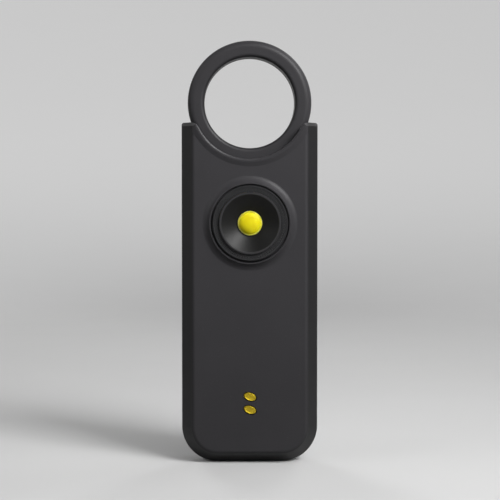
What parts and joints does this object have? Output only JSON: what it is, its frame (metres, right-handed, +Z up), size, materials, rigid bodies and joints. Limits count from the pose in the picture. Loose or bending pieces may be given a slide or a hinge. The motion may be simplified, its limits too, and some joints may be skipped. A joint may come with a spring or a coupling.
{
  "type": "personal safety alarm",
  "caption": "Hand-held personal alarm with a bevelled slab body, a pull-out finger ring in a round saddle, a siren with a dished horn and a yellow strobe button.",
  "frame": {"origin": "on the floor under the foot, in the middle of the overall box", "axes": "+Z up along the body, -Y out of the front panel, +X to the right seen from the front"},
  "size_m": [0.036, 0.0176, 0.1117],
  "materials": {
    "shell_plastic": "fine matte grain",
    "screw_steel": "plated",
    "ring_plastic": "fine matte grain",
    "magnet_nickel": "nickel plated",
    "keeper_steel": "rolled",
    "grille_plastic": "fine texture",
    "mesh_black": "etched and blackened",
    "horn_plastic": "polished",
    "gasket_rubber": "moulded",
    "cup_plastic": "moulded",
    "sounder_brass": "rolled",
    "sounder_ceramic": "fired",
    "lead_red": "extruded",
    "button_yellow": "satin, slightly clear",
    "switch_plastic": "moulded",
    "lamp_resin": "clear resin over phosphor",
    "board_laminate": "solder mask",
    "chip_resin": "moulded",
    "flex_film": "film",
    "inductor_ferrite": "pressed",
    "capacitor_body": "fired",
    "cell_pouch": "laminated foil",
    "pad_foam": "foam",
    "lead_black": "extruded",
    "contact_gold": "gold plated",
    "spring_bronze": "rolled"
  },
  "bodies": {
    "housing": {"front_shell": "shell_plastic", "rear_shell": "shell_plastic", "shell_screws": "screw_steel", "keeper_plate": "keeper_steel", "siren_grille": "grille_plastic", "siren_mesh": "mesh_black", "siren_horn": "horn_plastic", "siren_gasket": "gasket_rubber", "siren_cup": "cup_plastic", "sounder_disc": "sounder_brass", "sounder_ceramic": "sounder_ceramic", "siren_leads": "lead_red", "tact_switch": "switch_plastic", "strobe_lamps": "lamp_resin", "switch_board": "board_laminate", "hall_sensor": "chip_resin", "flex_strip": "flex_film", "main_board": "board_laminate", "controller_chip": "chip_resin", "boost_inductor": "inductor_ferrite", "capacitors": "capacitor_body", "battery_cell": "cell_pouch", "battery_pad": "pad_foam", "battery_leads": "lead_black", "charge_contact_upper": "contact_gold", "charge_contact_lower": "contact_gold", "contact_springs": "spring_bronze"},
    "ring": {"pull_ring": "ring_plastic", "ring_magnet": "magnet_nickel"},
    "button": {"strobe_button": "button_yellow", "tact_plunger": "switch_plastic"}
  },
  "joints": [
    {"name": "ring_pull", "type": "slide", "parent": "housing", "child": "ring", "axis": [0, 0, 1], "range_m": [0, 0.018]},
    {"name": "button_press", "type": "slide", "parent": "housing", "child": "button", "axis": [0, 1, 0], "range_m": [0, 0.0005], "stiffness_N_per_m": 600, "springref_m": -0.0012}
  ]
}
